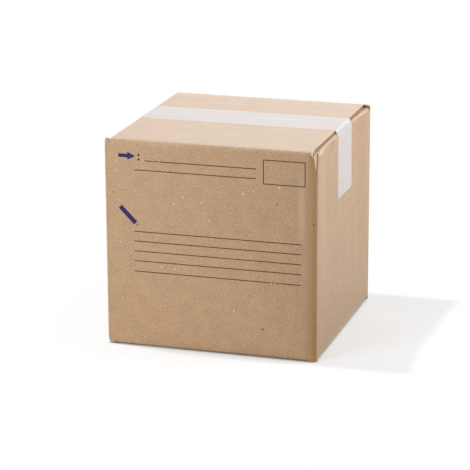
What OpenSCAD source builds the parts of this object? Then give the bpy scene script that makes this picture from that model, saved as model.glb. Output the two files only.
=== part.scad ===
// Regular slotted shipping carton, folded from one blank of single-wall corrugated board
// and closed with packing tape. The outer flaps hinge at the front and back walls and meet at
// the middle. The inner flaps hinge at the left and right walls and lie inside them. At the top their
// folds are a board lower. At the bottom all folds are in line, so that all four walls stand on the
// floor, and the inner flaps climb onto the outer ones by a slanted step.
// +X runs along the seam, +Y is to the back and +Z is up. The origin is the middle of the underside.

/* [Carton] */
// Outside length, along the seam
box_l = 200; // [140:1:320]
// Outside width, across the seam
box_w = 200; // [140:1:320]
// Outside height of the closed carton
box_h = 195; // [120:1:320]
// Thickness of the corrugated board
board_t = 3; // [2:0.1:5]
// Thickness of one liner, the paper on each face of the board
liner_t = 0.4; // [0.2:0.05:0.6]
// Inside radius of a rolled fold
fold_r = 0.6; // [0.4:0.1:1.5]
// Depth of the flute that lies open along an edge cut in the flutes' direction
flute_open = 1.6; // [0.5:0.1:3]

/* [Flaps] */
// Clearance between the left ends of the outer flaps and the inside of the left wall
flap_clear_left = 2.5; // [0.5:0.5:7]
// Clearance between the right ends of the outer flaps and the inside of the right wall
flap_clear_right = 3; // [0.5:0.5:7]
// Clearance between the ends of the bottom outer flaps and the step of the inner flaps
step_clear = 0.3; // [0.2:0.1:4]
// Clearance between the ends of the inner flaps and the folds of the corners
inner_clear = 0.4; // [0.2:0.1:4]
// Width of the cut between a flap's end and the corner post beside it
slot_gap = 0.5; // [0.2:0.1:1.5]
// Distance that the corner posts stop short of the carton's top and bottom
post_short = 0.6; // [0.2:0.1:3]
// Gap between two flaps that meet at the middle
seam_gap = 1; // [0.5:0.5:4]
// Play between an inner flap and the outer flap that lies on it
flap_play = 0.3; // [0.1:0.1:1]

/* [Glue tab] */
// Reach of the tab along the inside of the back wall, from the outside of the left wall
tab_w = 35; // [20:1:50]
// Distance that the tab stops short of the carton's top and bottom
tab_short = 8; // [6:1:20]
// Height that the tab's slanted ends lose on the way to its free edge
tab_taper = 6; // [0:1:15]
// Depth that the glued tab is pressed into the back wall
tab_press = 0.1; // [0.05:0.05:0.3]
// Distance of the back wall's raw edge from the outside of the left wall
raw_edge_gap = 1; // [0:0.5:3]

/* [Tape] */
// Width of the tape
tape_w = 50; // [36:1:75]
// Thickness of the tape
tape_t = 0.1; // [0.05:0.05:0.3]
// Distance of the top tape's middle line behind the seam
tape_offset = 12; // [-20:1:20]
// Length of the top tape down the left and right walls, from the carton's top
tape_drop = 65; // [20:1:100]
// Ends of the bottom tape, set in from the ends of the bottom flaps
bottom_tape_inset = 4; // [0:1:40]

/* [Hidden] */
$fn = 64;

kraft = "#C4A27C";
film = "#EAE4DF";

// A cut runs this far past the face that it opens
overcut = 1;

half_l = box_l / 2;
half_w = box_w / 2;
bottom_z = tape_t;
top_z = tape_t + box_h;
fold_outer = fold_r + board_t;

// Upper face of the top inner flaps
inner_top_z = top_z - board_t - flap_play;
// Free edge of each flap, measured from the outside of its wall
outer_reach = half_w - seam_gap / 2;
inner_reach = min(outer_reach, half_l - seam_gap / 2);
// Distances of the outer flaps' ends from the outside of the side walls, and their places along X
flap_inset_left = board_t + flap_clear_left;
flap_inset_right = board_t + flap_clear_right;
flap_left = -half_l + flap_inset_left;
flap_right = half_l - flap_inset_right;
// Half the length of an inner flap, along Y
inner_end = half_w - board_t - fold_outer - inner_clear;

// Slope and height of the step in a bottom inner flap
step_angle = 45;
step_rise = board_t + flap_play;
// Distance between the centres of the step's two bends, across the board. Each has a fold's radii.
step_bends = fold_outer + fold_r;
// Straight length of the step, and its end, measured from the outside of the wall
step_ramp = (step_rise - step_bends * (1 - cos(step_angle))) / sin(step_angle);
step_end = fold_outer + step_bends * sin(step_angle) + step_ramp * cos(step_angle);
// Straight parts of each bend of the step
step_parts = 6;
// Ends of the bottom outer flaps, along X
bottom_flap_end = half_l - step_end - step_clear;

// Straight steps in which the tape wraps a side fold
wrap_steps = 8;

// The shape and its mirror image, left and right
module left_and_right() {
    children();
    mirror([1, 0, 0]) children();
}

// The shape and its mirror image, front and back
module front_and_back() {
    children();
    mirror([0, 1, 0]) children();
}

// A shape at the carton's top, moved to its bottom
module upside_down() {
    translate([0, 0, bottom_z + top_z]) mirror([0, 0, 1]) children();
}

// Section of a fold, in the quadrant to the left and up. A skin is a thickness taken off both faces.
module rolled_fold(skin = 0) {
    intersection() {
        difference() {
            circle(fold_outer - skin);
            circle(fold_r + skin);
        }
        translate([-fold_outer, 0]) square(fold_outer);
    }
}

// Plan of the four walls, with three rolled corners and the fold of the glue tab at the fourth
module wall_plan() {
    corner_x = half_l - fold_outer;
    corner_y = half_w - fold_outer;
    tab_fold_y = corner_y - board_t + tab_press;

    translate([-corner_x, -half_w]) square([2 * corner_x, board_t]);
    translate([half_l - board_t, -corner_y]) square([board_t, 2 * corner_y]);
    translate([-half_l + raw_edge_gap, half_w - board_t])
        square([half_l - raw_edge_gap + corner_x, board_t]);
    translate([-half_l, -corner_y]) square([board_t, corner_y + tab_fold_y]);

    translate([-corner_x, -corner_y]) mirror([0, 1]) rolled_fold();
    translate([corner_x, -corner_y]) rotate(180) rolled_fold();
    translate([corner_x, corner_y]) mirror([1, 0]) rolled_fold();
    translate([-corner_x, tab_fold_y]) rolled_fold();
}

// Room for the fold of an outer flap and the slots beside it
module outer_fold_room(left, right) {
    translate([left - slot_gap, -half_w - overcut, top_z - fold_outer])
        cube([right - left + 2 * slot_gap, board_t + overcut, fold_outer + overcut]);
}

// Room for the fold of an inner flap, which leaves the fold with its outer face at face_z
module inner_fold_room(face_z) {
    fold_z = face_z - fold_outer;
    half_room = inner_end + slot_gap;
    translate([half_l - board_t, -half_room, fold_z])
        cube([board_t + overcut, 2 * half_room, top_z - fold_z + overcut]);
}

// Flute that lies open along the raw edge of the back wall
module raw_edge_flute() {
    translate([-half_l + raw_edge_gap - overcut, half_w - board_t + liner_t, bottom_z])
        cube([flute_open + overcut, board_t - 2 * liner_t, box_h]);
}

// Walls, as high as their corner posts, which stand between the slots of the flaps
module walls() {
    difference() {
        translate([0, 0, bottom_z + post_short])
            linear_extrude(box_h - 2 * post_short) wall_plan();
        front_and_back() outer_fold_room(flap_left, flap_right);
        left_and_right() inner_fold_room(inner_top_z);
        upside_down() {
            front_and_back() outer_fold_room(-bottom_flap_end, bottom_flap_end);
            left_and_right() inner_fold_room(top_z);
        }
        raw_edge_flute();
    }
}

// Tab that carries on from the left wall and is glued to the inside of the back wall
module glue_tab() {
    fold_x = -half_l + fold_outer;
    free_x = -half_l + tab_w;
    low_z = bottom_z + tab_short;
    high_z = top_z - tab_short;
    translate([0, half_w - board_t + tab_press, 0]) rotate([90, 0, 0])
        linear_extrude(board_t) polygon([
            [fold_x, low_z], [free_x, low_z + tab_taper],
            [free_x, high_z - tab_taper], [fold_x, high_z]]);
}

// Section of a flap: the rolled fold, then the flat. The wall's outside is at x = 0 and the
// flap's outer face at y = 0.
module plain_section(reach, skin) {
    translate([fold_outer, -fold_outer]) rolled_fold(skin);
    translate([fold_outer, skin - board_t]) square([reach - fold_outer, board_t - 2 * skin]);
}

// Section of a flap with a step: the fold turns on past the flat, and a second bend turns it back
module stepped_section(reach, skin) {
    translate([fold_outer, -fold_outer]) rolled_fold(skin);
    polygon(concat(step_path(reach, skin), reversed(step_path(reach, board_t - skin))));
}

// Path of one face of a stepped flap from the end of its fold, at a depth under the outer face
function step_path(reach, depth) =
    let (
        angles = [for (i = [0:step_parts]) i * step_angle / step_parts],
        first_bend = [fold_outer, -fold_outer],
        second_bend = [step_end, fold_r - step_rise])
    concat(
        [for (a = angles) first_bend + (fold_outer - depth) * [sin(a), cos(a)]],
        [for (a = reversed(angles)) second_bend - (fold_r + depth) * [sin(a), cos(a)]],
        [[reach, -step_rise - depth]]);

// Flap with a flute open along each end, between the two liners
module flap(reach, length, stepped = false) {
    module section(reach, skin = 0) {
        if (stepped) stepped_section(reach, skin);
        else plain_section(reach, skin);
    }
    difference() {
        linear_extrude(length) section(reach);
        for (z = [-overcut, length - flute_open])
            translate([0, 0, z]) linear_extrude(flute_open + overcut) section(reach + overcut, liner_t);
    }
}

module outer_flap(left, right) {
    translate([left, -half_w, top_z]) rotate([90, 0, 90]) flap(outer_reach, right - left);
}

module inner_flap(face_z, stepped = false) {
    translate([-half_l, inner_end, face_z]) rotate([90, 0, 0])
        flap(inner_reach, 2 * inner_end, stepped);
}

// The whole blank, folded and glued
module carton() {
    color(kraft) union() {
        walls();
        glue_tab();
        front_and_back() outer_flap(flap_left, flap_right);
        left_and_right() inner_flap(inner_top_z);
        upside_down() {
            front_and_back() outer_flap(-bottom_flap_end, bottom_flap_end);
            left_and_right() inner_flap(top_z, stepped = true);
        }
    }
}

// Path of one face of the tape, past a flap's end that is set in by inset and lies at the
// origin. The tape leaves the end, meets the side fold as a tangent, wraps it and runs down the
// wall. The face's height above the board is lift.
function tape_path(inset, lift) =
    let (
        centre = [inset - fold_outer, -board_t - flap_play - fold_outer],
        slope = atan2(-centre.y, centre.x) - asin(fold_outer / norm(centre)),
        step = (90 - slope) / wrap_steps,
        wrap_r = (fold_outer + lift) / cos(step / 2),
        wrap = [for (i = [0:wrap_steps])
            centre + wrap_r * [sin(slope + i * step), cos(slope + i * step)]])
    concat([[lift * tan(slope / 2), lift]], wrap, [[centre.x + wrap_r, -tape_drop]]);

function right_path(lift) =
    [for (p = tape_path(flap_inset_right, lift)) [flap_right + p.x, p.y]];
function left_path(lift) =
    [for (p = tape_path(flap_inset_left, lift)) [flap_left - p.x, p.y]];
function reversed(path) = [for (i = [len(path) - 1:-1:0]) path[i]];

// Tape along the top seam, over both ends and down the side walls
module top_tape() {
    color(film) translate([0, tape_offset + tape_w / 2, top_z]) rotate([90, 0, 0])
        linear_extrude(tape_w) polygon(concat(
            right_path(tape_t), reversed(right_path(0)),
            left_path(0), reversed(left_path(tape_t))));
}

// Tape along the bottom seam, cut off inside the bottom face
module bottom_tape() {
    tape_l = 2 * (bottom_flap_end - bottom_tape_inset);
    color(film) translate([-tape_l / 2, -tape_w / 2, 0]) cube([tape_l, tape_w, tape_t]);
}

carton();
top_tape();
bottom_tape();
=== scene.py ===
# %% [markdown]
# # A taped shipping carton
# The real object is one blank of corrugated board, creased, slotted, folded into a square tube, glued
# at one corner and closed with packing tape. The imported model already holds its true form, so it is
# loaded first as a fixed frame, and every piece below takes its place from it.

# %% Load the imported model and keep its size
import math

import bmesh
import bpy
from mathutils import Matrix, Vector


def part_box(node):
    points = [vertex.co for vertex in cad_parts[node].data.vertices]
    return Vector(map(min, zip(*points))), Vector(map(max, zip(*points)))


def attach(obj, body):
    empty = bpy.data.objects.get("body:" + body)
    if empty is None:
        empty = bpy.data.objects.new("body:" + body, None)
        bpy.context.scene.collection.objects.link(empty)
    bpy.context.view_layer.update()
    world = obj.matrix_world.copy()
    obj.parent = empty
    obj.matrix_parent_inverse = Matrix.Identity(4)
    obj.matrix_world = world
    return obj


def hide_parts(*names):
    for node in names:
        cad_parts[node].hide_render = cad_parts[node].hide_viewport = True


MM = 0.001
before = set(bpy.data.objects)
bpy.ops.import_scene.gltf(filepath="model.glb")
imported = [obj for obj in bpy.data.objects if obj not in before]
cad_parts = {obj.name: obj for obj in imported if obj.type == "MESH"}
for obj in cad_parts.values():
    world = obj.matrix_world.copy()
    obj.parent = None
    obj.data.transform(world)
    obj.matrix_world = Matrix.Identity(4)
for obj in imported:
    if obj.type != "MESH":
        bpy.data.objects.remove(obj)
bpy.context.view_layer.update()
carton_low, carton_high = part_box("carton")
tape_low, tape_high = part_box("top_tape")
foot_low, foot_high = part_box("bottom_tape")
print("packed nodes:", len(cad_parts))
print("carton in mm:", [round(side / MM, 2) for side in carton_high - carton_low])

# %% [markdown]
# The camera comes first, because every later look at the scene goes through it. The photograph was
# taken from far away with a long lens, a little above the box and to its right. The values below were
# fitted to the box's edges.

# %% Camera at the photograph's angle
CAMERA_PLACE = Vector((593.9, -1962.1, 688.9)) * MM
CAMERA_TURN = math.radians(17.018)
CAMERA_DOWN = math.radians(16.436)
CAMERA_ROLL = math.radians(-0.243)
SENSOR = 36  # millimetres
LENS = 173.14
SEES_TO = 20  # metres

bpy.ops.object.camera_add(location=CAMERA_PLACE, rotation=(math.pi / 2 - CAMERA_DOWN, 0, CAMERA_TURN))
camera = bpy.context.object
camera.rotation_euler.rotate_axis("Z", CAMERA_ROLL)
camera.data.sensor_width = SENSOR
camera.data.lens = LENS
camera.data.clip_end = SEES_TO
bpy.context.scene.camera = camera
print("camera stands", round(CAMERA_PLACE.length, 3), "m from the box")

# %% [markdown]
# Modelling in code has one habit of its own: an operator acts on all that is selected. These helpers
# open one piece, pick its vertices, edges or faces by their place, and cut, roll or scale them. A test
# gets coordinates in millimetres, because that is how the carton is measured.

# %% Helpers that open a piece, pick by place and shape it
SAME_WAY = 0.5  # a face looks along a direction from this much agreement on
SAME_PLACE = 0.02  # two lengths in millimetres are the same below this difference
HAIR = 0.01  # widens a test, so that it takes what lies on its limit
LOOSE = 0.1  # the same for board that is dented by then
QUARTER_STEPS = 8  # flat strips in a quarter turn of a fold
X, Y, Z = range(3)  # the axes by number


def choose(piece):
    """Select this piece alone."""
    bpy.ops.object.select_all(action="DESELECT")
    piece.select_set(True)
    bpy.context.view_layer.objects.active = piece


def open_piece(piece):
    """Select this piece alone and enter edit mode on it."""
    choose(piece)
    bpy.ops.object.mode_set(mode="EDIT")


def close_piece():
    """Leave edit mode."""
    bpy.ops.object.mode_set(mode="OBJECT")


def pick(piece, kind, wanted, facing=None):
    """Select each vertex, edge or face whose corners all pass the test, and count them."""
    bpy.ops.mesh.select_mode(type=kind)
    bpy.ops.mesh.select_all(action="DESELECT")
    mesh = bmesh.from_edit_mesh(piece.data)
    parts = {"VERT": mesh.verts, "EDGE": mesh.edges, "FACE": mesh.faces}[kind]
    count = 0
    for part in parts:
        corners = [part] if kind == "VERT" else part.verts
        turned_away = facing and part.normal.dot(Vector(facing)) < SAME_WAY
        if not turned_away and all(wanted(*(corner.co / MM)) for corner in corners):
            part.select_set(True)
            count += 1
    bmesh.update_edit_mesh(piece.data)
    return count


def near(value, target, slack=SAME_PLACE):
    """True where two lengths in millimetres are the same."""
    return abs(value - target) < slack


def cut(axis, place, whole=True):
    """Cut the open piece across one axis, all of it or only what is selected."""
    if whole:
        bpy.ops.mesh.select_all(action="SELECT")
    normal = Vector((0, 0, 0))
    normal[axis] = 1
    bpy.ops.mesh.bisect(plane_co=normal * place * MM, plane_no=normal)


def cut_rows(axis, start, end, step):
    """Cut the open piece into even rows across one axis."""
    rows = round((end - start) / step)
    for row in range(1, rows):
        cut(axis, start + (end - start) * row / rows)


def roll(centre, from_side, to_side, angle=math.pi / 2, steps=None):
    """Roll the selected edge round a centre, from one side to another. Spin turns clockwise."""
    steps = steps or round(QUARTER_STEPS * 2 * angle / math.pi)
    axis = Vector(to_side).cross(Vector(from_side))
    bpy.ops.mesh.spin(steps=steps, angle=angle, center=Vector(centre) * MM, axis=axis)


def run(x, y, z):
    """Extrude the selected edge in a straight line."""
    bpy.ops.mesh.extrude_region_move(TRANSFORM_OT_translate={"value": Vector((x, y, z)) * MM})


def scale_height(factor, about):
    """Scale what is selected in height, about one height."""
    bpy.ops.transform.resize(value=(1, 1, factor), center_override=(0, 0, about * MM))


def count_faces(piece):
    """Count the faces of an open piece."""
    return len(bmesh.from_edit_mesh(piece.data).faces)


def add_sheet(name, middle, size, turn):
    """Add a flat sheet at its place and size, and open it."""
    bpy.ops.object.select_all(action="DESELECT")
    middle = Vector(middle) * MM
    bpy.ops.mesh.primitive_plane_add(size=1, location=middle, rotation=turn)
    sheet = bpy.context.object
    sheet.name = name
    bpy.ops.object.transform_apply(location=True, rotation=True, scale=True)
    open_piece(sheet)
    bpy.ops.mesh.select_all(action="SELECT")
    bpy.ops.transform.resize(value=Vector(size) * MM, center_override=middle)
    return sheet


FACING = {"left": (0, -math.pi / 2, 0), "front": (math.pi / 2, 0, 0), "back": (-math.pi / 2, 0, 0),
          "down": (math.pi, 0, 0)}
print("sheets can face", sorted(FACING))

# %% [markdown]
# ## The board
# A carton is folded, so the mesh is folded too: one strip runs round the four walls, rolls over at
# each corner and ends in the glue tab. Only the outer face is made now. It gets the board's thickness
# at the end, so every fold keeps an even wall.

# %% Run the strip of the four walls round the corners
BOARD = 3
FOLD = 3.6  # outer radius of a rolled fold
PRINT_ROOM = 0.05  # the printed front lies this far inside the box, under its ink
RAW_EDGE = 1  # the back wall's raw edge, from the left wall's outside
TAB_REACH = 35
TAB_ROOT = 0.5  # length over which the glue tab gets shorter than the wall
TAB_SHORT = (0.953, 0.936)  # heights that the glue tab keeps at its root and at its free edge

half_l = carton_high.x / MM
half_w = carton_high.y / MM
bottom = carton_low.z / MM
top = carton_high.z / MM
front = -half_w + PRINT_ROOM
corner_x = half_l - FOLD
corner_back = half_w - FOLD
corner_front = front + FOLD
wall_low = bottom + FOLD
wall_high = top - FOLD
wall_mid = (bottom + top) / 2
tab_corner = half_w - BOARD - PRINT_ROOM - FOLD

back_start = -half_l + RAW_EDGE
board = add_sheet(
    "carton_board", ((back_start + corner_x) / 2, half_w, wall_mid),
    (corner_x - back_start, 1, wall_high - wall_low), FACING["back"])
pick(board, "EDGE", lambda x, y, z: near(x, corner_x))
roll((corner_x, corner_back, 0), (0, 1, 0), (1, 0, 0))
run(0, corner_front - corner_back, 0)
roll((corner_x, corner_front, 0), (1, 0, 0), (0, -1, 0))
run(-2 * corner_x, 0, 0)
roll((-corner_x, corner_front, 0), (0, -1, 0), (-1, 0, 0))
run(0, tab_corner - corner_front, 0)
roll((-corner_x, tab_corner, 0), (-1, 0, 0), (0, 1, 0))
tab_steps = (TAB_ROOT, TAB_REACH - FOLD - TAB_ROOT)
for step, keep in zip(tab_steps, TAB_SHORT):
    run(step, 0, 0)
    scale_height(keep, wall_mid)
print("wall strip has", count_faces(board), "faces")

# %% [markdown]
# The slots between the flaps are cuts in the blank. The outer flaps hinge at the front and back walls,
# the inner ones at the side walls. At the top the inner ones lie a board lower, so the side walls are
# trimmed by that much between the slots. At the bottom all folds are in line. The front right slot is
# cut apart, because the flap is wider there.

# %% Cut the slots and trim the side walls
SLOT = 0.5  # width of the cut between a flap's end and the corner post
END_ROOM = (2.5, 3.0)  # from the left and right wall's inside to the ends of the top outer flaps
FLARE = 95.9  # end of the front top flap where it leaves its fold
FOOT_ROOM = 4  # from an end of the bottom tape to that of the bottom outer flaps
INNER_ROOM = 0.4  # from an outer flap's fold to the end of an inner flap
PLAY = 0.3  # between an inner flap and the outer one that lies on it

flap_left = -half_l + BOARD + END_ROOM[0]
flap_right = half_l - BOARD - END_ROOM[1]
foot_end = foot_high.x / MM + FOOT_ROOM
inner_end = half_w - BOARD - FOLD - INNER_ROOM
side_high = wall_high - BOARD - PLAY
side_slot = inner_end + SLOT


def flared_edge(x, y, z):
    """True on the strip of the front wall that carries the front top flap."""
    return near(y, front) and z > side_high - HAIR


cut(Z, side_high)
for edge_y in (-side_slot, -inner_end, inner_end, side_slot):
    cut(Y, edge_y)
foot_slot = foot_end + SLOT
for edge_x in (flap_left - SLOT, flap_left, -foot_slot, -foot_end, foot_end, foot_slot):
    cut(X, edge_x)
for edge_x in (flap_right, flap_right + SLOT):
    pick(board, "FACE", flared_edge)
    bpy.ops.mesh.select_all(action="INVERT")
    cut(X, edge_x, whole=False)
pick(board, "FACE", flared_edge)
cut(X, FLARE, whole=False)


def above_side_fold(x, y, z):
    """True on the part of a side wall above the fold of its top inner flap."""
    return near(abs(x), half_l) and abs(y) < side_slot + HAIR and z > side_high - HAIR


print("trimmed strips:", pick(board, "FACE", above_side_fold))
bpy.ops.mesh.delete(type="FACE")

# %% [markdown]
# Each flap starts at the top or bottom edge of its wall, rolls over and runs flat to the middle. That
# is one spin and one extrusion. The front top flap narrows just behind its fold. The bottom inner flaps
# come last: they roll on past the flat, climb onto the outer flaps and are bent back.

# %% Fold the eight flaps
SEAM = 0.5  # half the gap where two flaps meet
NECK = 9  # length over which the front top flap narrows


def fold_flap(wall, wall_edge, fold_z, up):
    """Roll the picked wall edge over and run the flap to the seam."""
    pick(board, "EDGE", wall_edge)
    wall = Vector(wall)
    outside = front if wall.y < 0 else half_w
    depth = half_l if wall.x else abs(outside)
    centre = wall * (depth - FOLD)
    centre.z = fold_z
    roll(centre, wall, (0, 0, up))
    reach = depth - FOLD - SEAM
    if up > 0 and wall.y < 0:
        run(0, NECK, 0)
        neck_y = front + FOLD + NECK
        pick(board, "VERT", lambda x, y, z: near(x, FLARE) and near(y, neck_y))
        bpy.ops.transform.translate(value=((flap_right - FLARE) * MM, 0, 0))
        pick(board, "EDGE", lambda x, y, z: near(y, neck_y))
        reach -= NECK
    run(*(wall * -reach))


def outer_edge(x, y, z, side, up):
    """True on the wall edge that an outer flap starts from."""
    left_end = flap_left
    right_end = FLARE if side < 0 else flap_right
    if up < 0:
        left_end, right_end = -foot_end, foot_end
    return (near(y, front if side < 0 else half_w) and near(z, wall_high if up > 0 else wall_low)
            and left_end - HAIR < x < right_end + HAIR)


def inner_edge(x, y, z, side, height):
    """True on the wall edge that an inner flap starts from."""
    return near(x, side * half_l) and near(z, height) and abs(y) < inner_end + HAIR


STEP = math.radians(45)  # slope of the step in a bottom inner flap
step_bends = 2 * FOLD - BOARD  # between the middles of its two bends
step_ramp = (BOARD + PLAY - step_bends * (1 - math.cos(STEP))) / math.sin(STEP)


def fold_with_step(side):
    """Roll a bottom inner flap past the flat, climb onto the outer flaps, bend back and run on."""
    pick(board, "EDGE", lambda x, y, z: inner_edge(x, y, z, side, wall_low))
    inward = Vector((-side, 0, 0))
    upward = Vector((0, 0, 1))
    climb = inward * math.cos(STEP) + upward * math.sin(STEP)
    under = inward * math.sin(STEP) - upward * math.cos(STEP)
    middle = Vector((side * corner_x, 0, wall_low))
    roll(middle, -inward, -upward, math.pi / 2 + STEP)
    run(*(climb * step_ramp))
    middle += under * step_bends + climb * step_ramp
    roll(middle, -under, climb, STEP)
    run(*(inward * (abs(middle.x) - SEAM)))


for side in (-1, 1):
    fold_flap((0, side, 0), lambda x, y, z: outer_edge(x, y, z, side, 1), wall_high, 1)
    fold_flap((side, 0, 0), lambda x, y, z: inner_edge(x, y, z, side, side_high), side_high, 1)
    fold_flap((0, side, 0), lambda x, y, z: outer_edge(x, y, z, side, -1), wall_low, -1)
    fold_with_step(side)
print("folded board has", count_faces(board), "faces")

# %% [markdown]
# What stays of the walls between two slots stands up at each corner as a post, almost as high as the
# flaps. The rim there is simply drawn on upwards, and downwards at the foot.

# %% Raise the corner posts
POST_SHORT = 0.6  # how much lower than the flaps a post ends
post_rise = FOLD - POST_SHORT


def on_post(x, y, z, up):
    """True on the rim of a corner post."""
    left_end = flap_left - SLOT
    right_start = corner_x if y < 0 else flap_right + SLOT
    if up < 0:
        left_end, right_start = -foot_slot, foot_slot
    beside_slot = x < left_end + HAIR or x > right_start - HAIR
    return near(z, wall_high if up > 0 else wall_low) and abs(y) > side_slot - HAIR and beside_slot


for up in (1, -1):
    count = pick(board, "EDGE", lambda x, y, z: on_post(x, y, z, up))
    run(0, 0, up * post_rise)
    print("drew out", count, "edges of the posts")

# %% [markdown]
# Board that has been handled is never quite flat. To let the walls bow and dent, the sheet is first cut
# into rows of a few millimetres, with extra rows at the corner that the photograph shows crushed.

# %% Cut the sheet into rows
ROW = 5
CRUSH_ROWS = (94.8, 95.6)
PUFF_START = 95.0  # where the right side fold puffs up, beside the outer flaps' ends
cut_rows(X, -foot_end, foot_end, ROW)
cut_rows(Y, -inner_end, inner_end, ROW)
cut_rows(Z, wall_low, side_high, ROW)
for row_x in CRUSH_ROWS:
    pick(board, "FACE", lambda x, y, z: y < front + FOLD + NECK + LOOSE)
    cut(X, row_x, whole=False)
pick(board, "FACE", lambda x, y, z: near(z, side_high + FOLD))
cut(X, PUFF_START, whole=False)
bpy.ops.mesh.select_all(action="SELECT")
bpy.ops.mesh.remove_doubles(threshold=HAIR * MM)
bpy.ops.mesh.normals_make_consistent(inside=False)
print("rows make", count_faces(board), "faces")

# %% [markdown]
# The right wall leans in towards its top, where the tape pulls on it. Proportional editing does this as
# by hand: a patch of the wall is moved, and what is connected to it follows less and less. The wall is
# squashed in height for the move and stretched again, so that the bow runs down to the floor but stops
# at the corner posts. The front right corner is crushed in the same way, and the other corners are
# blunted. The right side fold puffs up at its back end, the post at the front left leans against its flap,
# and the one at the back left was knocked down below the flaps, so it is pressed flat.

# %% Bow and dent the walls
def stretch_height(factor):
    """Scale the whole open piece in height, about the floor."""
    bpy.ops.mesh.select_all(action="SELECT")
    scale_height(factor, 0)


def push(wanted, shift, reach, squash=1.0, falloff="SMOOTH"):
    """Move the picked vertices, with all that is connected to them following softly."""
    stretch_height(squash)
    count = pick(board, "VERT", lambda x, y, z: wanted(x, y, z / squash))
    bpy.ops.transform.translate(
        value=Vector(shift) * MM, use_proportional_edit=True, use_proportional_connected=True,
        proportional_edit_falloff=falloff, proportional_size=reach * MM)
    stretch_height(1 / squash)
    return count


LEAN = 3.4
LEAN_PATCH = (55, 165)  # half the width of the patch that is moved, and its low end
LEAN_REACH = 40
LEAN_SQUASH = 0.25
patch_half, patch_low = LEAN_PATCH
push(lambda x, y, z: near(x, half_l) and abs(y) < patch_half and z > patch_low, (-LEAN, 0, 0),
     LEAN_REACH, squash=LEAN_SQUASH)
print("right wall leans in by", LEAN, "mm")

CRUSH_X = 97.4  # middle of the crushed corner
CRUSH_PATCH = (0.4, 4, 0.6)  # half width, depth and half height of the points pushed
CRUSH_REACH = 4.2
# heights, and how far the corner is pushed in there
CRUSH = ((wall_high + post_rise, 2.2), (wall_high, 1.2), (side_high, 1.4), (side_high - 5, 1.0),
         (side_high - 10, 0.7), (side_high - 15, 0.4))
across, inwards, along = CRUSH_PATCH
for height, depth in CRUSH:
    count = push(lambda x, y, z: near(x, CRUSH_X, across) and y < front + inwards and near(z, height, along),
                 (0, depth, 0), CRUSH_REACH, falloff="LINEAR")
    print("crushed", count, "points at", round(height, 1))

# where a dent is, its points, how far they move, how far around them the board follows, and how
DENTS = (
    ("front left foot", lambda x, y, z: x < -98 and y < -97.5 and z < 1, (0.5, 0.5, 1.8), 5, "SMOOTH"),
    ("front left post", lambda x, y, z: x < -98.5 and y < -98 and z > wall_high + 1,
     (0.3, 0.3, -1.2), 4, "SMOOTH"),
    ("back right post", lambda x, y, z: x > 98.5 and y > 97.5 and z > wall_high + 1,
     (0, 0, -0.8), 4, "SMOOTH"),
    ("right side fold", lambda x, y, z: x > 97 and near(y, inner_end) and z > side_high + 1,
     (0, 0, 1.2), 3, "LINEAR"))
for where, wanted, shift, reach, falloff in DENTS:
    print("moved", push(wanted, shift, reach, falloff=falloff), "points of the", where)

POST_LEAN = 0.8  # share of the slot that the front left post closes
KNOCK = 186.0  # the back left post is pressed towards this height
KNOCK_KEPT = 0.4  # share of its height above that
pick(board, "VERT", lambda x, y, z: near(x, flap_left - SLOT) and y < front + 1 and z > wall_high + 1)
bpy.ops.transform.translate(value=(POST_LEAN * SLOT * MM, 0, 0))
count = pick(board, "VERT", lambda x, y, z: x < flap_left - 0.4 and y > side_slot - LOOSE and z > KNOCK)
scale_height(KNOCK_KEPT, KNOCK)
close_piece()
print("pressed down", count, "points of the back left post")

# %% [markdown]
# Now the sheet becomes board. Solidify adds the thickness on the inside and closes the cut edges with
# faces of their own, which get the second material slot.

# %% Give the board its thickness
def modify(piece, kind, **settings):
    """Add a modifier to a piece, set it and apply it."""
    choose(piece)
    bpy.ops.object.modifier_add(type=kind)
    modifier = piece.modifiers[-1]
    for key, value in settings.items():
        setattr(modifier, key, value)
    bpy.ops.object.modifier_apply(modifier=modifier.name)


def press(piece, lift, **settings):
    """Project a piece onto the board, and keep it a little above."""
    modify(piece, "SHRINKWRAP", target=board, wrap_method="PROJECT", wrap_mode="ABOVE_SURFACE",
           use_negative_direction=True, use_positive_direction=True, offset=lift * MM, **settings)


liner = bpy.data.materials.new("kraft_liner")
cut_edge = bpy.data.materials.new("cut_edge")
board.data.materials.append(liner)
board.data.materials.append(cut_edge)
modify(board, "SOLIDIFY", thickness=BOARD * MM, offset=-1, use_quality_normals=True, use_rim=True,
       material_offset_rim=1)
print("board has", len(board.data.polygons), "faces")

# %% [markdown]
# Where board is cut along its flutes, the edge shows one open flute between the two liners. The ends of
# the flaps and the raw edge at the back are such edges, so their rims are inset by a liner's thickness
# and pushed in.

# %% Open the flutes along the flap ends
LINER = 0.4  # thickness of a liner
FLUTE_DEPTH = 1.6
BOARD_SMOOTH = math.radians(40)  # edges that are sharper than this stay sharp


def on_inner_flap(z):
    """True above the top side folds, or as low as the bottom inner flaps."""
    return z > side_high - LOOSE or z < bottom + 2 * BOARD + PLAY + LOOSE


CUT_ENDS = (
    (lambda x, y, z: flap_right - HAIR < x < FLARE + HAIR and z > wall_high - LOOSE, (1, 0, 0)),
    (lambda x, y, z: near(x, flap_left) and z > wall_high - LOOSE, (-1, 0, 0)),
    (lambda x, y, z: near(x, foot_end) and z < wall_low + LOOSE, (1, 0, 0)),
    (lambda x, y, z: near(x, -foot_end) and z < wall_low + LOOSE, (-1, 0, 0)),
    (lambda x, y, z: near(y, -inner_end) and on_inner_flap(z), (0, -1, 0)),
    (lambda x, y, z: near(y, inner_end) and on_inner_flap(z), (0, 1, 0)),
    (lambda x, y, z: near(x, back_start) and y > half_w - BOARD - LOOSE, (-1, 0, 0)))

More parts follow.
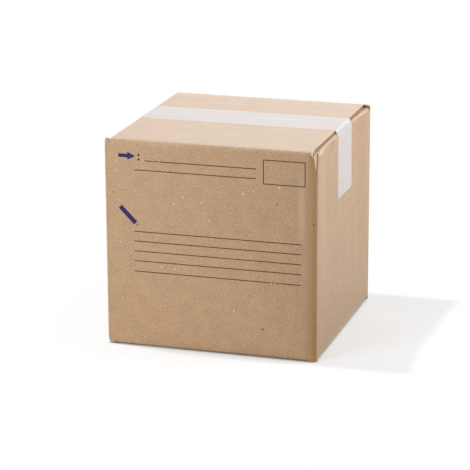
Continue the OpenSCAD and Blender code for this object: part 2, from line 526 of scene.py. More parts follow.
open_piece(board)
for on_end, outward in CUT_ENDS:
    rim = pick(board, "FACE", on_end, facing=outward)
    bpy.ops.mesh.inset(thickness=LINER * MM, depth=0)
    run(*(Vector(outward) * -FLUTE_DEPTH))
    print("opened a flute along", rim, "faces")
close_piece()
bpy.ops.object.shade_smooth_by_angle(angle=BOARD_SMOOTH)
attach(board, "root")
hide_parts("carton")

# %% [markdown]
# ## The tape
# Packing tape is a film of a tenth of a millimetre. It is stuck to the wall, bridges the step at the end
# of the flaps and lies along the seam. The strip is run along that path, with a roll where it wraps
# the side fold.

# %% Run the top tape along the seam
FILM = 0.08
FILM_LIFT = 0.06  # the middle of the film, above the board
TAPE_ROWS = (4, 2.5, 4)  # size of the strip's rows along each axis
TAPE_STEPS = 5  # flat strips where it wraps the side fold
BESIDE_MIDDLE = 4  # how far from the tape's middle line the wall is measured

tape_front = tape_low.y / MM
tape_back = tape_high.y / MM
tape_end = tape_low.z / MM
tape_mid = (tape_front + tape_back) / 2
film_top = top + FILM_LIFT
wrap = FOLD + FILM_LIFT


def wall_outside(side):
    """Measure how far out a wall is at its fold, under the middle of the tape."""
    return max(v.co.x * side / MM for v in board.data.vertices
               if near(v.co.y / MM, tape_mid, BESIDE_MIDDLE) and near(v.co.z / MM, side_high, LOOSE))


def bridge(flap_end, wall_x):
    """How the tape comes down on the side fold: the fold's middle, the slope and the landing place."""
    middle = Vector((wall_x - FOLD, side_high))
    drop = middle - Vector((flap_end, film_top))
    slope = math.atan2(-drop.y, drop.x) - math.asin(wrap / drop.length)
    return middle.x, slope, middle + wrap * Vector((math.sin(slope), math.cos(slope)))


left_x, left_slope, left_landing = bridge(-flap_left, wall_outside(-1))
right_x, right_slope, right_landing = bridge(flap_right, wall_outside(1))
print("tape bridges at", [round(math.degrees(a), 1) for a in (left_slope, right_slope)], "degrees")

tape = add_sheet(
    "top_tape_film", (-left_x - wrap, tape_mid, (tape_end + side_high) / 2),
    (1, tape_back - tape_front, side_high - tape_end), FACING["left"])
pick(tape, "EDGE", lambda x, y, z: near(z, side_high))
roll((-left_x, 0, side_high), (-1, 0, 0), (0, 0, 1), math.pi / 2 - left_slope, TAPE_STEPS)
run(flap_left + left_landing.x, 0, film_top - left_landing.y)
run(flap_right - flap_left, 0, 0)
run(right_landing.x - flap_right, 0, right_landing.y - film_top)
roll((right_x, 0, side_high), (0, 0, 1), (1, 0, 0), math.pi / 2 - right_slope, TAPE_STEPS)
run(0, 0, tape_end - side_high)
tape_spans = ((-half_l, half_l), (tape_front, tape_back), (tape_end, top))
for axis in (X, Y, Z):
    cut_rows(axis, *tape_spans[axis], TAPE_ROWS[axis])
bpy.ops.mesh.select_all(action="SELECT")
bpy.ops.mesh.normals_make_consistent(inside=False)
print("tape strip has", count_faces(tape), "faces")

# %% [markdown]
# The wall under the tape is bowed, so the film is pressed onto it. A vertex group keeps the rest of the
# strip out of it.

# %% Press the tape onto the walls and give it thickness
FREE = 1  # the film is pressed on from this far below the side fold
FILM_SMOOTH = math.radians(50)
pick(tape, "VERT", lambda x, y, z: z < side_high - FREE)
bpy.ops.object.vertex_group_add()
bpy.ops.object.vertex_group_assign()
close_piece()
press(tape, FILM_LIFT, use_project_x=True, vertex_group=tape.vertex_groups[0].name)
modify(tape, "SOLIDIFY", thickness=FILM * MM, offset=0, use_even_offset=True)
bpy.ops.object.shade_smooth_by_angle(angle=FILM_SMOOTH)
film = bpy.data.materials.new("milky_film")
tape.data.materials.append(film)
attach(tape, "root")
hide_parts("top_tape")
print("tape has", len(tape.data.polygons), "faces")

# %% [markdown]
# The tape under the box is a plain length along the bottom seam. Its cut ends are a little wavy, from
# the teeth of the dispenser.

# %% Lay the bottom tape
TEETH = 10
TOOTH = 0.8  # depth of a tooth
FOOT_ROW = 6
FOOT_LIFT = 0.005  # between the film and the floor
foot_x = (foot_low.x / MM, foot_high.x / MM)
foot_size = (foot_high - foot_low) / MM
foot = add_sheet(
    "bottom_tape_film", ((foot_x[0] + foot_x[1]) / 2, 0, FILM / 2 + FOOT_LIFT),
    (foot_size.x, foot_size.y, 1), FACING["down"])
cut_rows(X, *foot_x, FOOT_ROW)
cut_rows(Y, -foot_size.y / 2, foot_size.y / 2, foot_size.y / (2 * TEETH))
for end, inward in zip(foot_x, (1, -1)):
    for tooth in range(TEETH):
        tooth_y = -foot_size.y / 2 + foot_size.y * (tooth + 0.5) / TEETH
        pick(foot, "VERT", lambda x, y, z: near(x, end) and near(y, tooth_y))
        bpy.ops.transform.translate(value=(TOOTH * inward * MM, 0, 0))
close_piece()
modify(foot, "SOLIDIFY", thickness=FILM * MM, offset=0, use_even_offset=True)
foot.data.materials.append(film)
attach(foot, "root")
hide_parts("bottom_tape")
print("bottom tape has", len(foot.data.polygons), "faces")

# %% [markdown]
# ## The print
# The front carries ruled lines, a frame for the stamp, a pencil and a pointer. Ink is part of the
# surface, but its lines are finer than a baked texture, so each mark is a very thin mesh that is
# pressed onto the board.

# %% Helpers for flat marks on the front
INK_LIFT = 0.02
INK_FILM = 0.015
INK_ROW = 4
LINE = 0.85  # width of a ruled line


def bar(x_low, x_high, height, wide):
    """Middle and size of a flat bar on the front wall, from its ends, its height and its width."""
    return ((x_low + x_high) / 2, front, height), (x_high - x_low, 1, wide)


def add_bar(*measures):
    """Add a flat bar to the open piece. It stays selected."""
    middle, size = (Vector(lengths) * MM for lengths in bar(*measures))
    bpy.ops.mesh.select_all(action="DESELECT")
    bpy.ops.mesh.primitive_plane_add(size=1, location=middle, rotation=FACING["front"])
    bpy.ops.transform.resize(value=size, center_override=middle)


def start_mark(name, *measures):
    """Start a printed mark with its first bar, and leave it open."""
    return add_sheet(name, *bar(*measures), FACING["front"])


def finish_mark(mark, ink):
    """Press a mark onto the front, give it a film of ink and let it ride with the carton."""
    cut_rows(X, -half_l, half_l, INK_ROW)
    cut_rows(Z, bottom, top, INK_ROW)
    close_piece()
    press(mark, INK_LIFT, use_project_y=True)
    modify(mark, "SOLIDIFY", thickness=INK_FILM * MM, offset=0)
    mark.data.materials.append(ink)
    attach(mark, "root")
    print(mark.name, "has", len(mark.data.polygons), "faces")


line_ink = bpy.data.materials.new("line_ink")
bold_ink = bpy.data.materials.new("bold_ink")

# %% [markdown]
# The ruled lines are bars. Two small breaks in the first line and two in the last are where the printing
# plate missed.

# %% Rule the lines
# left end, right end and height
SENDER_LINES = ((-61.0, -54.1, 177.1), (-53.0, -47.9, 177.1), (-46.8, 43.8, 177.1), (-70.8, 43.8, 168.1))
ADDRESS_LEFT = -72.0
ADDRESS_RIGHT = 85.5
ADDRESS_HEIGHTS = (110.2, 101.0, 91.6, 82.3)
LAST_HEIGHT = 72.3
LAST_PIECES = ((ADDRESS_LEFT, 57.0), (58.5, 60.8), (62.6, ADDRESS_RIGHT))

bars = list(SENDER_LINES)
bars += [(ADDRESS_LEFT, ADDRESS_RIGHT, height) for height in ADDRESS_HEIGHTS]
bars += [(x_low, x_high, LAST_HEIGHT) for x_low, x_high in LAST_PIECES]
lines = start_mark("ruled_lines", *bars[0], LINE)
for line in bars[1:]:
    add_bar(*line, LINE)
finish_mark(lines, line_ink)

# %% [markdown]
# The stamp frame is one rectangle, inset by a line's width, with its middle taken out.

# %% Frame the stamp's place
STAMP = (50.1, 89.3, 174.9, 22.8)  # left and right side, height of its middle, and its own height
stamp = start_mark("stamp_frame", *STAMP)
bpy.ops.mesh.select_mode(type="FACE")
bpy.ops.mesh.select_all(action="SELECT")
bpy.ops.mesh.inset(thickness=LINE * MM, depth=0)
bpy.ops.mesh.delete(type="FACE")
finish_mark(stamp, line_ink)

# %% [markdown]
# The pencil is drawn lying flat and then turned about its blunt end: a body, a bare cone and a dark lead.

# %% Draw the pencil
PENCIL_END = (-85.0, 132.9)
PENCIL_BODY = 20.8
PENCIL_WIDE = 4.4
PENCIL_SLOPE = math.radians(45.4)
LEAD_GAP = 1.6  # the bare cone between the body and the lead
LEAD_LONG = 1.7
LEAD_WIDE = 1.8
LEAD_POINT = 0.3  # share of its width at the point
pencil_x, pencil_z = PENCIL_END
pencil = start_mark("pencil_mark", pencil_x, pencil_x + PENCIL_BODY, pencil_z, PENCIL_WIDE)
lead_x = pencil_x + PENCIL_BODY + LEAD_GAP
add_bar(lead_x, lead_x + LEAD_LONG, pencil_z, LEAD_WIDE)
pick(pencil, "EDGE", lambda x, y, z: near(x, lead_x + LEAD_LONG))
scale_height(LEAD_POINT, pencil_z)
bpy.ops.mesh.select_all(action="SELECT")
bpy.ops.transform.rotate(value=-PENCIL_SLOPE, orient_axis="Y",
                         center_override=Vector((pencil_x, front, pencil_z)) * MM)
finish_mark(pencil, bold_ink)

# %% [markdown]
# The pointer is a plain arrow with two dots, which leads the eye to the first line. Its head is the
# shaft's end, widened and drawn out to a point.

# %% Draw the pointer and its dots
SHAFT = (-86.0, -77.5)
SHAFT_WIDE = 3.4
HEAD_WIDE = 2.2  # width of the head's back, and of its tip, as shares of what it grows from
TIP_WIDE = 0.04
HEAD_START = 0.01
ARROW_MID = 180.8
ARROW_TIP = -70.2
DOT_X = -66.6
DOT_HEIGHTS = (182.1, 178.0)
DOT_RADIUS = 1.1
DOT_SIDES = 16
arrow = start_mark("pointer_mark", *SHAFT, ARROW_MID, SHAFT_WIDE)
pick(arrow, "EDGE", lambda x, y, z: near(x, SHAFT[1]))
run(HEAD_START, 0, 0)
scale_height(HEAD_WIDE, ARROW_MID)
run(ARROW_TIP - SHAFT[1], 0, 0)
scale_height(TIP_WIDE, ARROW_MID)
for dot_z in DOT_HEIGHTS:
    bpy.ops.mesh.select_all(action="DESELECT")
    bpy.ops.mesh.primitive_circle_add(
        vertices=DOT_SIDES, radius=DOT_RADIUS * MM, fill_type="NGON",
        location=Vector((DOT_X, front, dot_z)) * MM, rotation=FACING["front"])
finish_mark(arrow, bold_ink)

# %% [markdown]
# ## The finishes
# Nodes are added by one helper, which sets a node's values and links its inputs. The fibres, which more
# than one finish needs, are a node group.

# %% Helpers for nodes
def add_node(tree, kind, inputs=None, **settings):
    """Add a shader node, set its properties, and set or link its inputs."""
    node = tree.nodes.new("ShaderNode" + kind)
    for key, value in settings.items():
        setattr(node, key, value)
    for key, value in (inputs or {}).items():
        if isinstance(value, bpy.types.NodeSocket):
            tree.links.new(value, node.inputs[key])
        else:
            node.inputs[key].default_value = value
    return node


def math_node(tree, operation, first, second=0.0, third=0.0):
    """Add a math node and give its result."""
    return add_node(tree, "Math", {0: first, 1: second, 2: third}, operation=operation).outputs[0]


def ramp(tree, value, low, high, result_low=0.0, result_high=1.0):
    """Map a value smoothly from one range to another."""
    node = add_node(tree, "MapRange", {
        "Value": value, "From Min": low, "From Max": high, "To Min": result_low, "To Max": result_high},
        interpolation_type="SMOOTHSTEP")
    return node.outputs["Result"]


def rise(tree, value, start, end, *results):
    """A ramp between two places in millimetres."""
    return ramp(tree, value, start * MM, end * MM, *results)


def mix_colour(tree, share, first, second, blend="MIX"):
    """Mix two colours and give the result."""
    node = add_node(tree, "Mix", {0: share, 6: first, 7: second}, data_type="RGBA", blend_type=blend)
    return node.outputs[2]


def both(tree, first, second):
    """A mask that is full only where two masks are, or one at a lower strength."""
    return math_node(tree, "MULTIPLY", first, second)


def within(tree, value, low, high, soft):
    """A mask that is full between two places in millimetres, with soft ends."""
    return both(tree, rise(tree, value, low - soft, low + soft), rise(tree, value, high + soft, high - soft))


def split(tree, vector):
    """The three parts of a vector."""
    return add_node(tree, "SeparateXYZ", {0: vector}).outputs


def distance(tree, place, centre):
    """How far a place is from a fixed one, in metres."""
    return add_node(tree, "VectorMath", {0: place, 1: centre}, operation="DISTANCE").outputs["Value"]


def shaded(tree, colour, value):
    """A colour made darker or lighter by a value around one."""
    grey = add_node(tree, "CombineColor", {0: value, 1: value, 2: value}).outputs[0]
    return mix_colour(tree, 1.0, colour, grey, "MULTIPLY")


def linear(colour):
    """A screen colour, from 0 to 255, as the shader's own values, by the sRGB curve."""
    def channel(value):
        value /= 255
        return value / 12.92 if value <= 0.04045 else ((value + 0.055) / 1.055) ** 2.4
    return (*map(channel, colour), 1.0)


def empty_tree(owner):
    """Give the tree of a material or a world, with no node in it."""
    owner.use_nodes = True
    owner.node_tree.nodes.clear()
    return owner.node_tree


def start_material(material, values):
    """Give a material's tree, with a Principled shader that shows and has these values."""
    tree = empty_tree(material)
    shader = add_node(tree, "BsdfPrincipled", values)
    add_node(tree, "OutputMaterial", {"Surface": shader.outputs["BSDF"]})
    return tree, shader


def add_bump(tree, shader, height, strength, depth):
    """Raise a finish by a height, up to a depth in millimetres."""
    bump = add_node(tree, "Bump", {"Height": height, "Strength": strength, "Distance": depth * MM})
    tree.links.new(bump.outputs["Normal"], shader.inputs["Normal"])


KRAFT = (192, 156, 119)
print("kraft at its plain level:", [round(c, 3) for c in linear(KRAFT)])

# %% [markdown]
# Recycled paper is cloudy and full of short fibres. This group gives both as one value around zero, and
# the height of the fibres. The liner, the cut edges and the ink use it, each in its own strength.

# %% Group for paper fibres
CLOUD_SHARE = 0.26  # how much the clouds shade the paper, beside the fibres
FIBRE_SHADE = 1.2  # how strongly the fibres show in the liner and the ink
EDGE_SHADE = 0.9  # and in a cut edge

fibres = bpy.data.node_groups.new("Paper fibres", "ShaderNodeTree")
for socket_name in ("Shade", "Height"):
    fibres.interface.new_socket(socket_name, in_out="OUTPUT", socket_type="NodeSocketFloat")
place = add_node(fibres, "TexCoord").outputs["Object"]
cloud = add_node(fibres, "TexNoise", {"Vector": place, "Scale": 70.0, "Detail": 3.0, "Roughness": 0.55})
stretch = add_node(fibres, "Mapping", {"Vector": place, "Scale": (1.0, 1.0, 0.65)})
fine = add_node(fibres, "TexNoise", {
    "Vector": stretch.outputs["Vector"], "Scale": 750.0, "Detail": 4.0, "Roughness": 0.65})
fine_part = math_node(fibres, "SUBTRACT", fine.outputs[0], (1 + CLOUD_SHARE) / 2)
shade = math_node(fibres, "MULTIPLY_ADD", cloud.outputs[0], CLOUD_SHARE, fine_part)
fibre_out = fibres.nodes.new("NodeGroupOutput")
fibres.links.new(shade, fibre_out.inputs["Shade"])
fibres.links.new(fine.outputs[0], fibre_out.inputs["Height"])
print("fibre group has", len(fibres.nodes), "nodes")

# %% [markdown]
# The liner is matt brown kraft. Over the fibres lie the faint washboard of the flutes, which run up the
# walls and on across the flaps, and pale flecks and dark specks. Each is a mask, made from the place on
# the board and the way it faces.

# %% Masks for the liner
FLUTE_PITCH = 6.8
FLUTE_DRIFT = 9.0  # how far the flutes wander, as an angle
SIDEWAYS = 0.7  # a wall is a side wall from this much on
FLECK_CORE = 0.4  # share of a fleck's radius that is full
SPOT_CORE = 0.3  # and of a larger spot's
# place from the middle of the front, height and radius of the larger flecks and specks
PALE_SPOTS = ((31.6, 153.2, 1.7), (-7.4, 141.8, 1.5), (65.0, 161.3, 1.3), (-33.5, 138.9, 1.2),
              (-45.8, 78.3, 1.3), (-33.7, 77.4, 1.2), (-0.7, 125.9, 1.1), (41.0, 156.4, 1.0),
              (-25.2, 146.0, 1.1), (22.7, 42.8, 1.3))
DARK_SPOTS = ((49.8, 27.4, 1.6), (97.0, 129.7, 1.2), (-91.8, 145.6, 1.1), (63.1, 145.9, 1.2))

tree, shader = start_material(liner, {"Roughness": 0.5, "Sheen Weight": 0.25, "Sheen Roughness": 0.5})
coords = add_node(tree, "TexCoord").outputs["Object"]
at_x, at_y, at_z = split(tree, coords)
way_x, way_y, way_z = split(tree, add_node(tree, "NewGeometry").outputs["Normal"])
fibre = add_node(tree, "Group", node_tree=fibres)
on_front = math_node(tree, "LESS_THAN", way_y, -SAME_WAY)
on_side = math_node(tree, "GREATER_THAN", math_node(tree, "ABSOLUTE", way_x), SIDEWAYS)
along = add_node(tree, "Mix", {0: on_side, 2: at_x, 3: at_y}).outputs[0]
drift = add_node(tree, "TexNoise", {"Vector": coords, "Scale": 25.0, "Detail": 1.0}).outputs[0]
phase = math_node(tree, "MULTIPLY_ADD", along, 2 * math.pi / (FLUTE_PITCH * MM),
                  math_node(tree, "MULTIPLY", drift, FLUTE_DRIFT))
# the washboard of the flutes: a bump, and also painted shade in the colour
flute = math_node(tree, "SINE", phase)


def specks(density, radius, share):
    """A mask of small spots: few of many cells hold one."""
    cells = add_node(tree, "TexVoronoi", {"Vector": coords, "Scale": density})
    kept = math_node(tree, "GREATER_THAN", cells.outputs["Color"], 1 - share)
    return both(tree, kept, ramp(tree, cells.outputs["Distance"], radius, radius * FLECK_CORE))


def add_spots(mask, places):
    """Add larger single spots on the front wall to a mask."""
    flat = add_node(tree, "CombineXYZ", {0: at_x, 2: at_z}).outputs[0]
    for x, z, radius in places:
        away = distance(tree, flat, (x * MM, 0.0, z * MM))
        shape = both(tree, on_front, rise(tree, away, radius, radius * SPOT_CORE))
        mask = math_node(tree, "MAXIMUM", mask, shape)
    return mask


pale = add_spots(specks(density=400.0, radius=0.3, share=0.07), PALE_SPOTS)
dark = add_spots(specks(density=330.0, radius=0.22, share=0.04), DARK_SPOTS)
print("liner has", len(PALE_SPOTS), "large flecks and", len(DARK_SPOTS), "large specks")

# %% [markdown]
# Light and shade are painted into the board here. Beside the front right corner a band of painted shade
# deepens towards the corner, with a paler stripe along it, a painted highlight of a faint crease. The
# crushed corner has a painted highlight on its facet beside the painted shade of its crease, the crease at
# the left has fainter painted shade, the rounded corners a little painted shade, the side folds a painted
# highlight along their tops, and the folds at the foot painted shade next to the floor.

# %% Painted light and shade at folds and corners
SHADE_BAND = (85.5, 98.5)  # where the band of painted shade begins and where it is full
SHADE_BAND_WANDER = 3.0
HIGHLIGHT_STRIPE_X = (83.0, 88.9, 1.2)  # the painted highlight stripe's left and right end, and how soft they are
HIGHLIGHT_STRIPE_Z = (118.0, 166.0, 14)  # and the same for its low and high end
FACET_LIGHT_EDGES = ((0.567, 96.8, 189.0), (0.174, 98.8, 177.5))  # slope of each edge of the painted highlight on the crushed facet, and a place on it
FACET_LIGHT_LOW = (176.5, 178.5)  # heights between which the painted highlight sets in
FACET_LIGHT_RIGHT = (99.0, 98.5)  # where it ends at the right, and where it begins to fade
FACET_LIGHT_SOFT = 0.4
# painted shade in the corner creases, at the crushed corner and fainter at the left
CREASE_SHADE = (98.9, 99.7, 0.25)
CREASE_SHADE_RISE = (165.0, 182.0, 0.2, 0.75)  # heights between which it deepens, and its strengths there
LEFT_CREASE_SHADE = (-97.7, -96.7, 0.3)
LEFT_SHADE_FAINT = 0.3
FOOT_SHADE_LOW = (0.2, 0.5)  # heights between which the painted shade at the foot sets in
FOOT_SHADE_HIGH = (2.6, 1.2)  # where it ends, and where it begins to fade
# parts of the way the board faces, from where a mark begins to where it is full
CORNER_WAY = (-0.2, -0.3)
ROLL_SHADE_WAY = (-0.1, -0.4)
FOLD_LIGHT_LOW = (0.35, 0.65)
FOLD_LIGHT_HIGH = (0.97, 0.88)
FOLD_LIGHT_SIDE = (0.25, 0.4)

# painted shade: a band that darkens towards the front right corner, where the wall rounds off
wander = add_node(tree, "TexNoise", {"Vector": coords, "Scale": 90.0, "Detail": 2.0}).outputs[0]
shade_band_x = math_node(tree, "MULTIPLY_ADD", wander, SHADE_BAND_WANDER * MM, at_x)
shade_band_x = math_node(tree, "SUBTRACT", shade_band_x, SHADE_BAND_WANDER / 2 * MM)
painted_band_shade = both(tree, on_front, rise(tree, shade_band_x, *SHADE_BAND))

# painted highlight: a paler stripe along the band, where a faint crease catches the light
painted_stripe_highlight = both(tree, within(tree, at_x, *HIGHLIGHT_STRIPE_X), within(tree, at_z, *HIGHLIGHT_STRIPE_Z))
painted_stripe_highlight = both(tree, on_front, painted_stripe_highlight)

# painted highlight on the crushed corner's facet, which faces up and to the right
edges = [math_node(tree, "MULTIPLY_ADD", at_z, -slope, (x + slope * z) * MM) for slope, x, z in FACET_LIGHT_EDGES]
facet_light_x = math_node(tree, "SUBTRACT", at_x, math_node(tree, "MINIMUM", *edges))
painted_facet_highlight = both(tree, rise(tree, facet_light_x, -FACET_LIGHT_SOFT, FACET_LIGHT_SOFT), rise(tree, at_z, *FACET_LIGHT_LOW))
painted_facet_highlight = both(tree, painted_facet_highlight, rise(tree, at_x, *FACET_LIGHT_RIGHT))
painted_facet_highlight = both(tree, on_front, painted_facet_highlight)

on_corner = ramp(tree, way_y, *CORNER_WAY)
# painted shade on the rounded corners, where the board faces between two walls
painted_roll_shade = ramp(tree, math_node(tree, "MULTIPLY", way_x, way_y), *ROLL_SHADE_WAY)
# painted shade in the crease at each front corner
painted_crease_shade = both(tree, within(tree, at_x, *CREASE_SHADE), rise(tree, at_z, *CREASE_SHADE_RISE))
left_crease_shade = both(tree, within(tree, at_x, *LEFT_CREASE_SHADE), LEFT_SHADE_FAINT)
painted_crease_shade = both(tree, on_corner, math_node(tree, "ADD", painted_crease_shade, left_crease_shade))
# painted highlight along the tops of the side folds, where light from above falls
painted_fold_highlight = both(tree, ramp(tree, way_z, *FOLD_LIGHT_LOW), ramp(tree, way_z, *FOLD_LIGHT_HIGH))
painted_fold_highlight = both(tree, painted_fold_highlight, ramp(tree, math_node(tree, "ABSOLUTE", way_x), *FOLD_LIGHT_SIDE))
# painted shade on the folds at the foot, in the gap next to the floor
painted_foot_shade = both(tree, rise(tree, at_z, *FOOT_SHADE_LOW), rise(tree, at_z, *FOOT_SHADE_HIGH))
print("liner has", len(tree.nodes), "nodes for its marks")

# %% [markdown]
# The colour is built up from the plain kraft, mark by mark; most marks are painted light and shade.

# %% Kraft liner
# each shading with its strength, and each mark with its strength and colour
# the flutes, the rolled corners and the foot are painted shade
SHADINGS = ((fibre.outputs["Shade"], FIBRE_SHADE), (flute, 0.006), (painted_roll_shade, -0.15), (painted_foot_shade, -0.6))
# all marks but the flecks and specks are painted light or shade
MARKS = ((painted_band_shade, 1.0, (180, 137, 90)), (painted_stripe_highlight, 0.4, (214, 182, 146)), (painted_facet_highlight, 0.95, (250, 226, 192)),
         (painted_fold_highlight, 0.5, (236, 207, 174)), (painted_crease_shade, 1.0, (138, 106, 74)), (pale, 0.75, (236, 214, 184)),
         (dark, 0.85, (84, 58, 40)))
FLUTE_HEIGHT = 0.4  # beside the fibres

value = 1.0
for shading, strength in SHADINGS:
    value = math_node(tree, "MULTIPLY_ADD", shading, strength, value)
colour = shaded(tree, linear(KRAFT), value)
for mark, strength, stain in MARKS:
    colour = mix_colour(tree, both(tree, mark, strength), colour, linear(stain))
tree.links.new(colour, shader.inputs["Base Color"])
height = math_node(tree, "MULTIPLY_ADD", flute, FLUTE_HEIGHT, fibre.outputs["Height"])
add_bump(tree, shader, height, strength=0.35, depth=0.06)
print("liner has", len(tree.nodes), "nodes")

# %% [markdown]
# A cut edge shows the two liners and the darker fluting paper between them. The edges that face sideways
# are cut along the flutes and are painted darker, as shade in the open flutes; those that face up or down,
# which are cut across them, are painted paler, as light falling on them.

# %% Cut edges
SHADED_ALONG_FLUTES = (172, 139, 106)
LIT_ACROSS_FLUTES = (204, 172, 138)
LIT_UPWARD_WAY = (0.4, 0.7)

tree, shader = start_material(cut_edge, {"Roughness": 0.8})
fibre = add_node(tree, "Group", node_tree=fibres)
value = math_node(tree, "MULTIPLY_ADD", fibre.outputs["Shade"], EDGE_SHADE, 1.0)
way_z = split(tree, add_node(tree, "NewGeometry").outputs["Normal"])[2]
# painted light on edges that face up or down, painted shade on those that face sideways
across = ramp(tree, math_node(tree, "ABSOLUTE", way_z), *LIT_UPWARD_WAY)
colour = mix_colour(tree, across, linear(SHADED_ALONG_FLUTES), linear(LIT_ACROSS_FLUTES))
tree.links.new(shaded(tree, colour, value), shader.inputs["Base Color"])
add_bump(tree, shader, fibre.outputs["Height"], strength=0.6, depth=0.2)
print("cut edge has", len(tree.nodes), "nodes")

# %% [markdown]
# The film is milky and half clear, with fine streaks along its length from the way it was drawn. Its two
# faces each hide part of the board. Where it bends at the flap ends and in the middle of the bridge it is
# painted whiter and denser: partly the film's own whitening, partly a painted highlight on the bends.

# %% Milky film
FLAP_BEND = (93.8, 94.6, 0.25)  # at the ends of the outer flaps, on either side
BRIDGE_BEND = (192.7, 193.2, 0.2)  # height of the bend in the middle of the bridge
STREAKS = (0.25, 0.75)  # levels of the noise between the streaks and in them
COVER = (0.44, 0.53)  # share of the board that the film hides there
BEND_COVER = 0.25  # what a bend adds to it
FILM_TINTS = ((243, 239, 239), (252, 249, 250))
# colour of the bends, partly the film's whitening and partly painted highlight
BEND_WHITENING_AND_HIGHLIGHT = (255, 253, 252)

tree, shader = start_material(film, {"Roughness": 0.5, "Specular IOR Level": 0.35})
coords = add_node(tree, "TexCoord").outputs["Object"]
streak_map = add_node(tree, "Mapping", {"Vector": coords, "Scale": (12.0, 700.0, 12.0)})
streak = add_node(tree, "TexNoise", {
    "Vector": streak_map.outputs["Vector"], "Scale": 1.0, "Detail": 4.0, "Roughness": 0.6})
at_x, _, at_z = split(tree, coords)
flap_bend = within(tree, math_node(tree, "ABSOLUTE", at_x), *FLAP_BEND)
# the bends: partly the film's whitening, partly painted highlight
bend_whitening_and_highlight = math_node(tree, "MAXIMUM", flap_bend, within(tree, at_z, *BRIDGE_BEND))
cover = ramp(tree, streak.outputs[0], *STREAKS, *COVER)
cover = math_node(tree, "MULTIPLY_ADD", bend_whitening_and_highlight, BEND_COVER, cover)
tree.links.new(cover, shader.inputs["Alpha"])
tint = mix_colour(tree, streak.outputs[0], *map(linear, FILM_TINTS))
tint = mix_colour(tree, bend_whitening_and_highlight, tint, linear(BEND_WHITENING_AND_HIGHLIGHT))
tree.links.new(tint, shader.inputs["Base Color"])
add_bump(tree, shader, streak.outputs[0], strength=0.15, depth=0.05)
print("film has", len(tree.nodes), "nodes")

# %% [markdown]
# Two inks were printed, a dark brown one for the lines and a blue one for the bold marks. Ink soaks in a
# little unevenly, so the fibres shade it too.

# %% Ink
LINE_BROWN = (96, 54, 39)
BOLD_BLUE = (54, 42, 94)


def mix_ink(material, colour):
    """Make an ink that the paper's fibres shade."""
    tree, shader = start_material(material, {"Roughness": 0.6, "Specular IOR Level": 0.2})
    fibre = add_node(tree, "Group", node_tree=fibres)
    value = math_node(tree, "MULTIPLY_ADD", fibre.outputs["Shade"], FIBRE_SHADE, 1.0)
    tree.links.new(shaded(tree, linear(colour), value), shader.inputs["Base Color"])


mix_ink(line_ink, LINE_BROWN)
mix_ink(bold_ink, BOLD_BLUE)
print("inks:", line_ink.name, bold_ink.name)

# %% [markdown]
# ## The studio
# The box stands on a white floor in a white room. A small soft lamp above and to the left throws the
# one clear shadow, and wider lamps fill the front, the right side and the top. The floor shows white to
# the camera by its own colour. Near the box it keeps part of its own light and shade, so that the
# shadow stays, and under the box all of it, so that the foot stands in a dark line. To the right of the
# box the floor throws little light back, as if a dark card lay there, so the wall darkens downwards.

# %% Floor
FLOOR_SIZE = 12  # metres
FLOOR_DROP = 0.01  # millimetres below the box
UNDER = (0.3, -1.2)  # the dark line begins and is full this far outside the walls
UNDER_SHARE = 0.9
SHADOW_SHARE = 0.77  # how much of the floor's own light and shade the camera sees near the box
SHADOW_TINT = (0.94, 0.97, 1.0)  # a cool white paper
WHITE_SHARE = 0.33  # how much plain white is added to it
SHADE_MID = 0.12  # metres to the right of the middle of the box, where the shadow falls
NEAR = 0.2  # metres from that place within which the floor keeps its shade
FAR = 0.32  # and from which it is plain white
BOUNCE = 0.9  # how much light the floor throws back
CARD_BOUNCE = 0.05  # and how much where the card would lie
CARD_FADE = 5.0  # millimetres over which it begins
WHITE = (1.0, 1.0, 1.0, 1.0)


def shown_rays(tree):
    """A mask for the rays that see a background, from the camera or by way of metal or glass."""
    rays = add_node(tree, "LightPath")
    shows = math_node(tree, "MAXIMUM", rays.outputs["Is Camera Ray"], rays.outputs["Is Glossy Ray"])
    return math_node(tree, "MAXIMUM", shows, rays.outputs["Is Transmission Ray"])


bpy.ops.object.select_all(action="DESELECT")
bpy.ops.mesh.primitive_plane_add(size=FLOOR_SIZE, location=(0, 0, -FLOOR_DROP * MM))
floor = bpy.context.object
floor.name = "floor"
paper = bpy.data.materials.new("white_floor")
tree = empty_tree(paper)
shows = shown_rays(tree)
coords = add_node(tree, "TexCoord").outputs["Object"]
at_x, at_y, _ = split(tree, coords)
outward = math_node(tree, "MAXIMUM", math_node(tree, "ABSOLUTE", at_x), math_node(tree, "ABSOLUTE", at_y))
under = rise(tree, outward, half_l + UNDER[0], half_l + UNDER[1])
away = distance(tree, coords, (SHADE_MID, 0.0, 0.0))
shade = ramp(tree, away, NEAR, FAR, SHADOW_SHARE, 0.0)
shade = math_node(tree, "MAXIMUM", shade, both(tree, under, UNDER_SHARE))
glow = ramp(tree, away, NEAR, FAR, WHITE_SHARE, 1.0)
glow = both(tree, both(tree, glow, math_node(tree, "SUBTRACT", 1.0, under)), shows)
card = both(tree, ramp(tree, away, FAR, NEAR), rise(tree, at_x, half_l, half_l + CARD_FADE))
bounce = ramp(tree, card, 0.0, 1.0, BOUNCE, CARD_BOUNCE)
level = add_node(tree, "CombineColor")
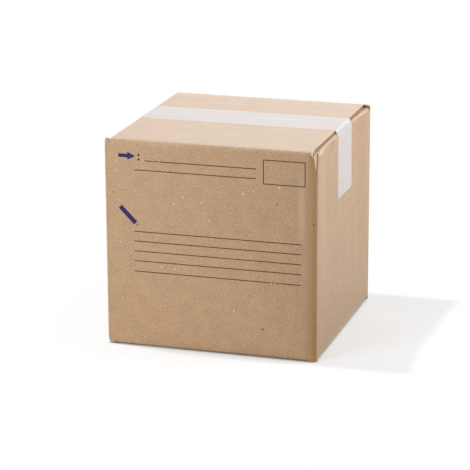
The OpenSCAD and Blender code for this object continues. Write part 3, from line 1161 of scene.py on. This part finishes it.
for channel, share in enumerate(SHADOW_TINT):
    mixed = add_node(tree, "Mix", {0: shows, 2: bounce, 3: both(tree, shade, share)})
    tree.links.new(mixed.outputs[0], level.inputs[channel])
matt = add_node(tree, "BsdfDiffuse", {"Color": level.outputs[0]})
white = add_node(tree, "Emission", {"Color": WHITE, "Strength": glow})
shown = add_node(tree, "AddShader", {0: matt.outputs[0], 1: white.outputs[0]})
add_node(tree, "OutputMaterial", {"Surface": shown.outputs[0]})
floor.data.materials.append(paper)
print("floor turns white", FAR, "m from the shadow's middle")

# %% [markdown]
# The room gives light from all round at a low level, and shows as plain white. The lamp at the right gives
# no glare, because the matt tape would shine with it, and the one behind the box throws no shadow forwards.

# %% Room and lamps
ROOM_LIGHT = 0.25

world = bpy.data.worlds.new("white_room")
bpy.context.scene.world = world
tree = empty_tree(world)
shows = shown_rays(tree)
level = ramp(tree, shows, 0.0, 1.0, ROOM_LIGHT, 1.0)
room = add_node(tree, "Background", {"Color": WHITE, "Strength": level})
add_node(tree, "OutputWorld", {"Surface": room.outputs[0]})


def add_lamp(name, place, size, energy, glares=True, shades=True):
    """Hang a square soft lamp that looks at the middle of the box, with or without glare and shadow."""
    place = Vector(place)
    bpy.ops.object.light_add(type="AREA", location=place)
    lamp = bpy.context.object
    lamp.name = name
    to_box = Vector((0, 0, wall_mid * MM)) - place
    lamp.rotation_euler = to_box.to_track_quat("-Z", "Y").to_euler()
    lamp.data.size = size
    lamp.data.energy = energy
    lamp.visible_glossy = glares
    lamp.data.use_shadow = shades
    print(name, "stands", round(to_box.length, 2), "m from the box")


add_lamp("key_lamp", (-0.66, -0.03, 1.8), size=0.12, energy=11.0)
add_lamp("left_lamp", (-0.36, -0.65, 0.3), size=0.4, energy=2.1)
add_lamp("right_lamp", (1.1, 0.25, 0.5), size=0.7, energy=9.5, glares=False)
add_lamp("back_lamp", (-0.2, 1.6, 0.75), size=1.2, energy=9.0, shades=False)
bpy.context.scene.view_settings.view_transform = "Standard"
